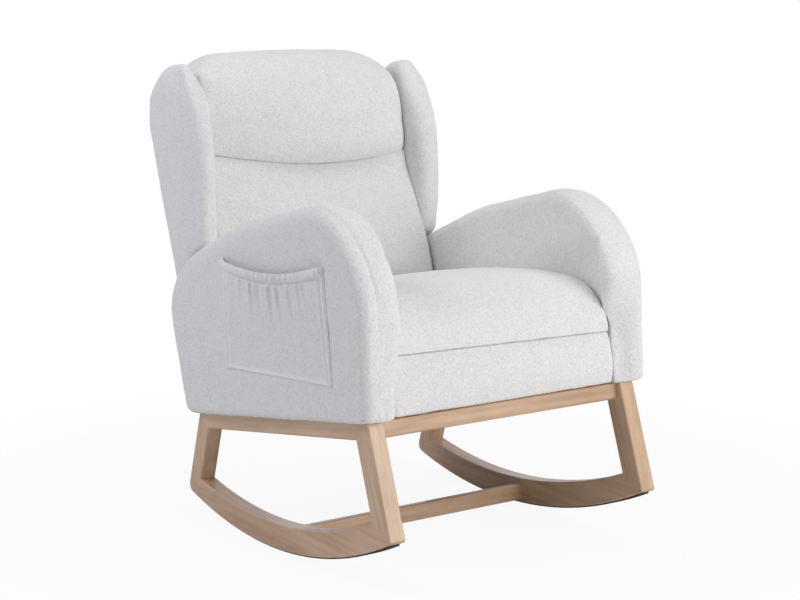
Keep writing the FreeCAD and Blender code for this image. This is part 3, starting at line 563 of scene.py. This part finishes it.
lower_back = stuffed("lower_back_cover", ["lower_back_pad"], "base", 0.006, 5, 0.001)
spots = points(lower_back)
x, y, z = spots.T
x += LOWER_SIDE * smooth_step(0.19, 0.245, x)
z += seam_drop(x) * smooth_step(0.60, 0.79, z)
front = smooth_step(0.02, 0.05, back_face(z) - y)
tuck = np.where(x > 0, LOWER_TUCK["right"], LOWER_TUCK["left"]) * np.abs(x / PAD_HALF) ** 4
y -= front * (tuck + LOWER_ROLL * smooth_step(0.745, 0.80, z))
z += LOWER_RISE * smooth_step(0.755, 0.785, z)
place_points(lower_back, spots)
swell(lower_back, LOWER_SWELL, lower_seams)
finish_cover(lower_back, 5, 0.75, "lower_back_pad", keep_lower)

pillow = stuffed("head_pillow_cover", ["head_pillow"], "base", 0.006, 10, 0.0015)
spots = points(pillow)
x, y, z = spots.T
x += PILLOW_SIDE * smooth_step(0.19, 0.245, x) * smooth_step(0.87, 0.82, z)
z += seam_drop(x) * smooth_step(0.92, 0.82, z)
z += PILLOW_CROWN * (1 - (x / 0.2) ** 2) * smooth_step(0.93, 1.03, z)
front = smooth_step(0.02, 0.05, back_face(z) - y) * smooth_step(0.875, 0.815, z)
tuck = np.where(x > 0, PILLOW_TUCK, 0.0) * np.abs(x / PAD_HALF) ** 4
y -= front * (tuck + PILLOW_ROLL)
z -= PILLOW_DROP * smooth_step(0.850, 0.815, z)
place_points(pillow, spots)
swell(pillow, PILLOW_SWELL, pillow_seams)
finish_cover(pillow, 7, 0.8, "head_pillow", keep_pillow)

rear_cloth = stuffed("rear_cover_cloth", ["rear_cover"], "base", 0.006, 3, 0.0)
spots = points(rear_cloth)
spots[:, 0] *= REAR_WIDTH + REAR_FOOT_WIDER * smooth_step(0.62, 0.56, spots[:, 2])
place_points(rear_cloth, spots)
finish_cover(rear_cloth, 13, 0.3, "rear_cover")


# Webbing, felt deck and dust cover inside the frame
STRAP = 0.060
STRAP_SAG = 0.0012
STRAP_THICKNESS = 0.0018
STRAP_FACE = 0.001
SEAT_STRAPS = 6
BACK_STRAPS = 5
FELT_SAG = 0.0010
FELT_THICKNESS = 0.0036
DUST_SAG = 0.0040
DUST_THICKNESS = 0.0010
WRINKLE_SCALE = 26


def level_box(name):
    spots = points(nodes[name])
    return Vector(spots.min(0)), Vector(spots.max(0))


def strips(name, solid, places, turn, size, sag, thickness, finish):
    """Flat strips of cloth centred on places in the level chair, turned, and hollowed by sag along their length."""
    form = bmesh.new()
    for place in places:
        lie = LEVEL @ Matrix.Translation(place) @ turn @ Matrix.Diagonal((*size, 1, 1))
        bmesh.ops.create_grid(form, x_segments=48, y_segments=48, size=0.5, matrix=lie)
    made = piece(name, form, finish, "base")
    spots = points(made)
    length = (spots - np.array(places).mean(0)) @ np.array(turn)[:3, 1] * 2 / size[1]
    wrinkle = np.array([noise.noise(Vector(p) * WRINKLE_SCALE) for p in spots])
    hollow = (1 - length ** 2) * (1 + 0.4 * wrinkle)
    place_points(made, spots - np.outer(sag * hollow, np.array(turn)[:3, 2]))
    thick = made.modifiers.new("cloth", "SOLIDIFY")
    thick.thickness = thickness
    thick.offset = 0
    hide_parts(solid)
    return made


level_turn = Matrix.Identity(4)
elastic = cloth("elastic_webbing", (0.13, 0.13, 0.14), 900.0, 0.6)
low, high = level_box("seat_webbing")
middle = (low + high) / 2
strap_ends = (low.x + STRAP / 2, high.x - STRAP / 2)
seat_straps = strips(
    "seat_webbing_straps",
    "seat_webbing",
    [(x, middle.y, middle.z) for x in np.linspace(*strap_ends, SEAT_STRAPS)],
    level_turn,
    (STRAP, high.y - low.y),
    STRAP_SAG,
    STRAP_THICKNESS,
    elastic,
)
low, high = level_box("back_webbing")
half_strap = STRAP / 2 * math.cos(BACK_RECLINE)
strap_ends = (low.z + half_strap, high.z - half_strap)
across_back = Matrix.Rotation(math.pi / 2 - BACK_RECLINE, 4, "X") @ Matrix.Rotation(math.pi / 2, 4, "Z")
strips(
    "back_webbing_straps",
    "back_webbing",
    [(0, back_face(z) + STRAP_FACE, z) for z in np.linspace(*strap_ends, BACK_STRAPS)],
    across_back,
    (STRAP, high.x - low.x),
    STRAP_SAG,
    STRAP_THICKNESS,
    elastic,
)
low, high = level_box("seat_deck")
felt = cloth("grey_felt", (0.30, 0.30, 0.31), 420.0, 0.8)
deck_size = (high.x - low.x, high.y - low.y)
middle = (low + high) / 2
deck = strips("felt_deck", "seat_deck", [middle], level_turn, deck_size, FELT_SAG, FELT_THICKNESS, felt)
low, high = level_box("dust_cover")
non_woven = cloth("black_dust_cloth", (0.035, 0.035, 0.038), 1300.0, 0.5)
dust_size = (high.x - low.x, high.y - low.y)
middle = (low + high) / 2
dust = strips(
    "dust_cloth", "dust_cover", [middle], level_turn, dust_size, DUST_SAG, DUST_THICKNESS, non_woven
)


# Footrest
PANEL_SWELL = 0.005
PANEL_STRETCH = 1.0155
PANEL_SHIFT = 0.004
PANEL_RISE = 0.004
PANEL_RIGHT = 0.2695
PANEL_LEFT = (0.2612, 0.2562)
PANEL_BOTTOM = 0.2725
PANEL_TOP = 0.3782


def keep_panel(x, y, z):
    left_end = -np.interp(z, (0.345, 0.37), PANEL_LEFT)
    return np.clip(x, left_end, PANEL_RIGHT), y, np.clip(z, PANEL_BOTTOM, PANEL_TOP + crease(x))


def panel_seams(x, y, z):
    return (abs(x - PANEL_SHIFT) > 0.260) | (z < 0.278) | (z > 0.372 + crease(x)) | (y > -0.29)


front_panel = stuffed("front_panel_cover", ["footrest_face"], "footrest", 0.004, 3, 0.001)
spots = points(front_panel)
x, y, z = spots.T
x *= PANEL_STRETCH
x += PANEL_SHIFT
z += (PANEL_RISE + crease(x)) * smooth_step(0.33, 0.374, z)
place_points(front_panel, spots)
swell(front_panel, PANEL_SWELL, panel_seams)
finish_cover(front_panel, 9, 0.7, "footrest_face", keep_panel)

foot_pad = stuffed("footrest_pad_cover", ["footrest_pad"], "footrest", 0.006, 4, 0.0)
finish_cover(foot_pad, 11, 0.6, "footrest_pad")

# Arms and wings: the two sides are stuffed a little differently
FULLNESS = {"left": 0.0092, "right": 0.002}
REAR_FULLNESS = 0.6
ARM_IN = 0.263
ARM_OUT = 0.341
ARM_BOTTOM = 0.2717
ROLL_HEIGHTS = (0.30, 0.36, 0.385, 0.43, 0.50, 0.56, 0.64, 0.68, 0.70)
ARM_ROLL = {
    "left": (-0.004, 0.0, 0.006, 0.014, 0.013, 0.012, 0.021, 0.014, 0.004),
    "right": (0.0, 0.0, 0.0, 0.010, 0.021, 0.024, 0.021, 0.010, 0.002),
}
ARM_DEPTHS = (-0.36, -0.25, -0.11, 0.0, 0.095, 0.18, 0.266, 0.34, 0.414)
ARM_CROWN = {
    "left": (0.0, 0.003, 0.003, 0.006, 0.007, 0.004, 0.0, -0.006, -0.012),
    "right": (0.0, -0.001, -0.004, -0.004, -0.005, -0.008, -0.012, -0.017, -0.020),
}
ARM_TRIM = {"left": 0.0, "right": 0.008}
ARM_EASE = {"left": 0.0, "right": 0.030}
ARM_SEAM = {"left": 0.0032, "right": 0.0012}
ARM_SEAM_PLACE = 0.308
ARM_SEAM_WIDTH = 0.0028
SHOULDER_CENTRE = (-0.130, 0.462)
SHOULDER_WAY = (-0.72, 0.694)
SHOULDER_FULLNESS = 0.006
WING_CLEAR = 0.0005
WING_DROP = 0.001
WING_DIFFERENCE = 0.003
WING_LEAN = 0.005
INNER_FULLNESS = 0.007
SLIM_HEIGHTS = (0.60, 0.72, 0.85, 0.95)
LEFT_SLIM = (0.008, 0.012, 0.016, 0.018)
LEFT_DOME = 0.009
RIGHT_TOP_OUT = 0.006
RIGHT_FOOT_IN = 0.009
RIGHT_FOOT_DROP = 0.026


def square_off(thing, way, fullness, rear=0.0):
    """Fills out the edge between a cover's side and its front, and by a share the one at its rear."""
    out = normals(thing)
    edge = 2 * np.clip(way * out[:, 0], 0, 1) * np.where(out[:, 1] < 0, -1, rear) * out[:, 1]
    place_points(thing, points(thing) + out * (fullness * edge ** 2)[:, None])


def make_arm(side, way, seed):
    def keep_arm(x, y, z):
        return way * np.clip(way * x, ARM_IN, ARM_OUT), y, np.maximum(z, ARM_BOTTOM)

    arm = stuffed(side + "_arm_cover", [side + "_arm_pad", side + "_arm_panel"], "base", 0.006, 14, 0.001)
    hold(arm, keep_arm)
    refine(arm)
    square_off(arm, way, FULLNESS[side], REAR_FULLNESS)
    spots = points(arm)
    out = normals(arm)
    across = way * spots[:, 0]
    seam = ridge(across, ARM_SEAM_PLACE, ARM_SEAM_WIDTH) * (1 - np.abs(out[:, 0]) ** 2)
    seam *= smooth_step(0.38, 0.55, spots[:, 2])
    spots -= out * (ARM_SEAM[side] * seam)[:, None]
    x, y, z = spots.T

    # The inner side rolls over the cushion where the cushion leaves it free
    inside = smooth_step(0.312, 0.27, across)
    free = np.maximum(smooth_step(-0.290, -0.312, y), smooth_step(0.500, 0.585, z))
    roll = np.interp(z, ROLL_HEIGHTS, ARM_ROLL[side])
    x -= way * roll * smooth_step(-0.05, -0.25, y) * free * inside
    x += way * ARM_TRIM[side] * smooth_step(-0.262, -0.285, y) * smooth_step(0.43, 0.39, z) * inside

    # The crown, the rounded shoulder at its front, and the lower front corner
    z += np.interp(y, ARM_DEPTHS, ARM_CROWN[side]) * smooth_step(0.45, 0.60, z)
    behind = y - SHOULDER_CENTRE[0]
    above = z - SHOULDER_CENTRE[1]
    reach = np.hypot(behind, above)
    toward = (SHOULDER_WAY[1] * above + SHOULDER_WAY[0] * behind) / reach
    shoulder = smooth_step(0.55, 0.95, toward) * smooth_step(0.1, 0.2, reach)
    ease = ARM_EASE[side] * smooth_step(0.342, 0.270, across)
    y += ease * smooth_step(-0.28, -0.34, y) * smooth_step(0.51, 0.40, z)
    y += SHOULDER_WAY[0] * SHOULDER_FULLNESS * shoulder
    z += SHOULDER_WAY[1] * SHOULDER_FULLNESS * shoulder
    place_points(arm, spots)
    fuzz(arm, PILE, 17 + seed)
    padded(arm, 0.85, side + "_arm_pad")
    return arm


def make_wing(side, way, seed):
    def keep_wing(x, y, z):
        return way * np.maximum(way * x, PAD_HALF + WING_CLEAR), y, z

    wing = stuffed(side + "_wing_cover", [side + "_wing_pad", side + "_wing_panel"], "base", 0.005, 18, 0.0022)
    square_off(wing, way, FULLNESS[side])
    if side == "left":
        square_off(wing, -way, np.interp(points(wing)[:, 2], (0.83, 0.92), (0.0, INNER_FULLNESS)))
    spots = points(wing)
    x, y, z = spots.T
    dome = smooth_step(0.90, 0.98, z)
    z += (-WING_DROP - way * WING_DIFFERENCE) * dome
    y -= WING_LEAN * smooth_step(0.78, 0.58, z)
    if side == "right":
        x += RIGHT_TOP_OUT * dome - RIGHT_FOOT_IN * smooth_step(0.75, 0.58, z)
        z -= RIGHT_FOOT_DROP * smooth_step(0.64, 0.57, z)
    else:
        # The left wing is slimmer towards its front edge, which is found at each height
        shelf = np.round(z, 2)
        shelves = np.unique(shelf)
        brink = [y[shelf == level].min() for level in shelves]
        behind = y - np.interp(z, shelves, brink)
        ahead = smooth_step(0.10, 0.0, behind)
        slim = np.interp(z, SLIM_HEIGHTS, LEFT_SLIM)
        x += slim * ahead * smooth_step(0.268, 0.300, -x)
        z += LEFT_DOME * dome * smooth_step(0.02, 0.08, behind)
    place_points(wing, spots)
    hold(wing, keep_wing)
    finish_cover(wing, 21 + seed, 0.8, side + "_wing_pad")


# Pockets: a gathered mouth with a ruffled hem, pleats below it, and a double seam at the sides
POCKET_FOOT = 0.412
POCKET_MOUTH = 0.386
POCKET_HEIGHT = 0.226
POCKET_SAG = 0.022
POCKET_MIDDLE = -0.0145
POCKET_FOOT_HEIGHT = 0.3555
POCKET_LEAN = math.radians(4.6)
POCKET_CLOTH = 0.0028
POCKET_CLEAR = 0.0026
BELLY = 0.0065
RUFFLES = 23
PLEATS = 12
GATHER_SCALE = 19
GATHER_SWAY = 4
HEM_MIDDLE = 0.0092
HEM_HALF = 0.0097
HEM_STAND = 0.0075
RUFFLE_STAND = 0.0030
PLEAT_STAND = 0.0075
PLEAT_TOP = 0.022
BORDER_STAND = 0.0026
BORDER_PLACE = 0.0055
BORDER_WIDTH = 0.0042
STITCH_STAND = 0.0014


def make_pocket(side, way, seed):
    form = bmesh.new()
    bmesh.ops.create_grid(form, x_segments=220, y_segments=120, size=0.5)
    pocket = piece(side + "_pocket_cloth", form, pocket_boucle_painted_highlight, "base")
    flat = np.empty(len(pocket.data.vertices) * 3, np.float32)
    pocket.data.vertices.foreach_get("co", flat)
    along, up, _ = flat.reshape(-1, 3).astype(float).T + 0.5

    # Distances on the pocket's face: from its side, its foot and its mouth
    width = POCKET_FOOT + (POCKET_MOUTH - POCKET_FOOT) * up
    reach = along * width
    edge = np.minimum(reach, width - reach)
    height = POCKET_HEIGHT - POCKET_SAG * 4 * along * (1 - along)
    rise = up * height
    below = height - rise

    # How far the cloth stands off: belly, hem with its ruffles, pleats, seams
    middle = np.clip(1 - ((along - 0.5) / 0.42) ** 2, 0, 1)
    gather = np.array([noise.noise(Vector((t * GATHER_SCALE, 4.7, seed))) for t in along])
    ruffle = np.sin(along * 2 * math.pi * RUFFLES + gather * GATHER_SWAY)
    fan = (along - 0.5) / (1 + 2.5 * below)
    pleat = (0.5 + 0.5 * np.sin(fan * 2 * math.pi * PLEATS + gather * GATHER_SWAY)) ** 1.5
    hem = np.clip(1 - ((below - HEM_MIDDLE) / HEM_HALF) ** 2, 0, 1) ** 0.5
    sewn = smooth_step(0.0, np.where(along < 0.5, 0.009, 0.005), edge)
    stand = BELLY * smooth_step(0, 0.035, edge) * smooth_step(0, 0.2, rise)
    stand += sewn * hem * (HEM_STAND + RUFFLE_STAND * ruffle * middle)
    fall = ridge(below, PLEAT_TOP, 0.058 + 0.020 * gather) * smooth_step(0.018, 0.027, below)
    stand += fall * middle * PLEAT_STAND * pleat
    border = ridge(edge, BORDER_PLACE, BORDER_WIDTH)
    groove = ridge(edge, 0.0120, 0.0030)
    double = ridge(edge, 0.0180, 0.0036)
    foot = ridge(rise, BORDER_PLACE, BORDER_WIDTH) * sewn
    stand += BORDER_STAND * border - STITCH_STAND * groove + STITCH_STAND * double + BORDER_STAND * foot
    stand -= POCKET_CLEAR * (1 - sewn * smooth_step(0.0, 0.005, rise))
    # Painted highlight: the cover's colour is made lighter along its border seams, its foot and its ruffled hem,
    # where the raised pile would catch light.
    painted_ruffle_highlight = hem * sewn * (0.35 + 0.35 * ruffle * middle)
    crest = np.clip(border + 0.5 * double + foot + painted_ruffle_highlight, 0, 1)
    pocket.data.attributes.new("crest", "FLOAT", "POINT").data.foreach_set("value", crest.astype(np.float32))

    sweep = reach - width / 2
    cos, sin = math.cos(POCKET_LEAN), math.sin(POCKET_LEAN)
    x = way * (ARM_OUT + POCKET_CLEAR + stand)
    y = POCKET_MIDDLE + sweep * cos - rise * sin
    z = POCKET_FOOT_HEIGHT + sweep * sin + rise * cos
    place_points(pocket, np.stack((x, y, z), 1))
    thick = pocket.modifiers.new("cloth", "SOLIDIFY")
    thick.thickness = POCKET_CLOTH
    thick.offset = -way
    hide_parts(side + "_pocket")


for seed, (side, way) in enumerate((("left", -1), ("right", 1))):
    arm = make_arm(side, way, seed)
    make_wing(side, way, seed)
    make_pocket(side, way, seed)


# Floor and background: the floor glows white to the camera, a little less near the chair, where its shadow shows
FLOOR_HALF = 30
FLOOR_GLOW = 0.92
FAR_GLOW = 0.08
SHADOW_REACH = (0.7, 1.5)
ROOM_LIGHT = 0.32
ROOM_GLOSS = 0.6
BACKGROUND_LIGHT = 0.68
ROOM_COLOR = (0.93, 0.925, 1, 1)
WHITE = (1, 1, 1, 1)
floor_form = bmesh.new()
bmesh.ops.create_grid(floor_form, x_segments=1, y_segments=1, size=FLOOR_HALF)
floor_mesh = bpy.data.meshes.new("floor")
floor_form.to_mesh(floor_mesh)
floor_form.free()
floor = bpy.data.objects.new("floor", floor_mesh)
scene.collection.objects.link(floor)

floor_white, spot = begin("floor_white")
complete(floor_white, {"Base Color": (0.9, 0.9, 0.9, 1), "Roughness": 0.9, "Specular IOR Level": 0.0})
seen = spot.node("LightPath", {}, {}, "Is Camera Ray")
glow = spot.node("Emission", {}, {"Color": WHITE, "Strength": 1.0})
ground = Value(floor_white.node_tree.nodes["Principled BSDF"].outputs[0])
away = spot.node("VectorMath", {"operation": "LENGTH"}, {0: spot}, "Value")
far = spot.node(
    "MapRange",
    {"interpolation_type": "SMOOTHSTEP"},
    {"Value": away, "From Min": SHADOW_REACH[0], "From Max": SHADOW_REACH[1]},
)
mixed = spot.node("MixShader", {}, {0: seen * (far * FAR_GLOW + FLOOR_GLOW), 1: ground, 2: glow})
floor_white.node_tree.links.new(mixed.socket, floor_white.node_tree.nodes["Material Output"].inputs["Surface"])
floor_mesh.materials.append(floor_white)

world = bpy.data.worlds.new("studio")
world.use_nodes = True
scene.world = world
sky = world.node_tree.nodes["Background"]
path = world.node_tree.nodes.new("ShaderNodeLightPath")
direct = Value(path.outputs["Is Camera Ray"])
glossy = Value(path.outputs["Is Glossy Ray"])
clear = Value(path.outputs["Is Transmission Ray"])
bright = direct.math("MAXIMUM", direct, clear)
strength = bright * BACKGROUND_LIGHT + glossy * ROOM_GLOSS + ROOM_LIGHT
world.node_tree.links.new(strength.socket, sky.inputs["Strength"])
shade = direct.node("Mix", {"data_type": "RGBA"}, {0: bright, 6: ROOM_COLOR, 7: WHITE}, 2)
world.node_tree.links.new(shade.socket, sky.inputs["Color"])
